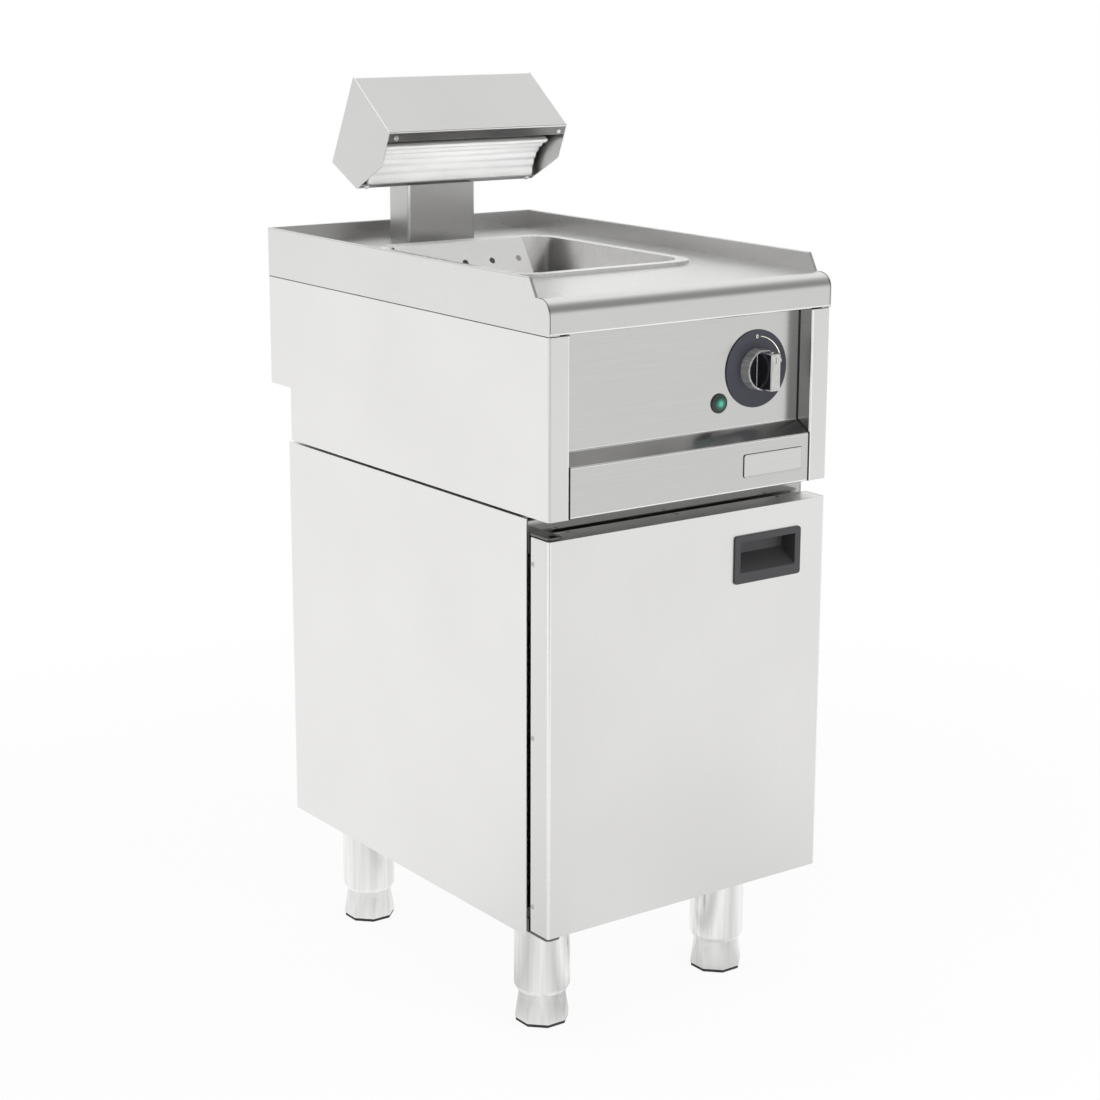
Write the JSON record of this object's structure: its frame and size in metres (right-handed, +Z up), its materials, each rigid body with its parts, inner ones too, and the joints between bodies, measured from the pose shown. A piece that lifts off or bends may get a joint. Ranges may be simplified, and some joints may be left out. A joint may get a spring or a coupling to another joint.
{
  "type": "chip warmer",
  "caption": "Freestanding stainless chip scuttle: worktop with a drained pan under a ceramic heat lamp, control panel, cabinet with a hinged door and adjustable legs.",
  "frame": {"origin": "middle of the footprint at floor level, where the rubber pads stand", "axes": "+Z up, the door and the controls face -Y, +X to the right seen from the front"},
  "size_m": [0.4, 0.613, 1.079],
  "materials": {
    "worktop_steel": "satin",
    "panel_steel": "satin",
    "door_steel": "satin",
    "fascia_steel": "brushed",
    "hood_steel": "brushed",
    "pan_steel": "satin",
    "leg_steel": "satin",
    "inner_steel": "matt",
    "bright_steel": "bright",
    "badge_steel": "bright",
    "reflector_steel": "bright",
    "knob_chrome": "satin",
    "dial_charcoal": "satin",
    "bezel_black": "gloss",
    "lens_green": "gloss",
    "handle_black": "matt",
    "terminal_white": "matt",
    "regulator_plastic": "matt",
    "ceramic_white": "glazed",
    "pad_rubber": "matt"
  },
  "bodies": {
    "scuttle": {"worktop": "worktop_steel", "left_side_panel": "panel_steel", "right_side_panel": "panel_steel", "rear_panel": "panel_steel", "base_panel": "inner_steel", "fascia": "fascia_steel", "badge_plate": "badge_steel", "dial_disc": "dial_charcoal", "regulator": "regulator_plastic", "pilot_bezel": "bezel_black", "pilot_lens": "lens_green", "pilot_lamp": "terminal_white", "terminal_block": "terminal_white", "cable_gland": "bezel_black", "column": "hood_steel", "column_screws": "bright_steel", "hood_shell": "hood_steel", "hood_left_end": "hood_steel", "hood_right_end": "hood_steel", "reflector": "reflector_steel", "emitter": "ceramic_white", "emitter_clip": "bright_steel", "lamp_terminals": "terminal_white", "hood_screws": "bright_steel", "cabinet_left_side": "panel_steel", "cabinet_right_side": "panel_steel", "cabinet_back": "panel_steel", "cabinet_floor": "panel_steel", "lintel": "inner_steel", "rear_rail": "inner_steel", "spacers": "bright_steel", "hinge_top": "bright_steel", "hinge_bottom": "bright_steel", "door_catch": "terminal_white", "leg_bolts": "bright_steel", "leg_front_left": "leg_steel", "leg_front_right": "leg_steel", "leg_back_left": "leg_steel", "leg_back_right": "leg_steel"},
    "door": {"door_skin": "door_steel", "door_liner": "panel_steel", "door_handle": "handle_black", "door_rivets": "bright_steel", "catch_strike": "bright_steel"},
    "knob": {"knob": "knob_chrome", "spindle": "bright_steel"},
    "pan": {"pan": "pan_steel"},
    "drain_plate": {"drain_plate": "pan_steel"},
    "foot_front_left": {"foot_front_left": "leg_steel", "pad_front_left": "pad_rubber"},
    "foot_front_right": {"foot_front_right": "leg_steel", "pad_front_right": "pad_rubber"},
    "foot_back_left": {"foot_back_left": "leg_steel", "pad_back_left": "pad_rubber"},
    "foot_back_right": {"foot_back_right": "leg_steel", "pad_back_right": "pad_rubber"}
  },
  "joints": [
    {"name": "door_hinge", "type": "hinge", "parent": "scuttle", "child": "door", "pos_m": [-0.1865, -0.2825, 0.379], "axis": [0, 0, -1], "range_deg": [0, 110]},
    {"name": "knob_turn", "type": "hinge", "parent": "scuttle", "child": "knob", "pos_m": [0.107, -0.2935, 0.766], "axis": [0, 1, 0], "range_deg": [0, 85]},
    {"name": "pan_lift", "type": "slide", "parent": "scuttle", "child": "pan", "axis": [0, 0, 1], "range_m": [0, 0.035]},
    {"name": "plate_lift", "type": "slide", "parent": "pan", "child": "drain_plate", "axis": [0, 0, 1], "range_m": [0, 0.03]},
    {"name": "foot_front_left_screw", "type": "slide", "parent": "scuttle", "child": "foot_front_left", "axis": [0, 0, -1], "range_m": [0, 0.03]},
    {"name": "foot_front_right_screw", "type": "slide", "parent": "scuttle", "child": "foot_front_right", "axis": [0, 0, -1], "range_m": [0, 0.03]},
    {"name": "foot_back_left_screw", "type": "slide", "parent": "scuttle", "child": "foot_back_left", "axis": [0, 0, -1], "range_m": [0, 0.03]},
    {"name": "foot_back_right_screw", "type": "slide", "parent": "scuttle", "child": "foot_back_right", "axis": [0, 0, -1], "range_m": [0, 0.03]}
  ]
}
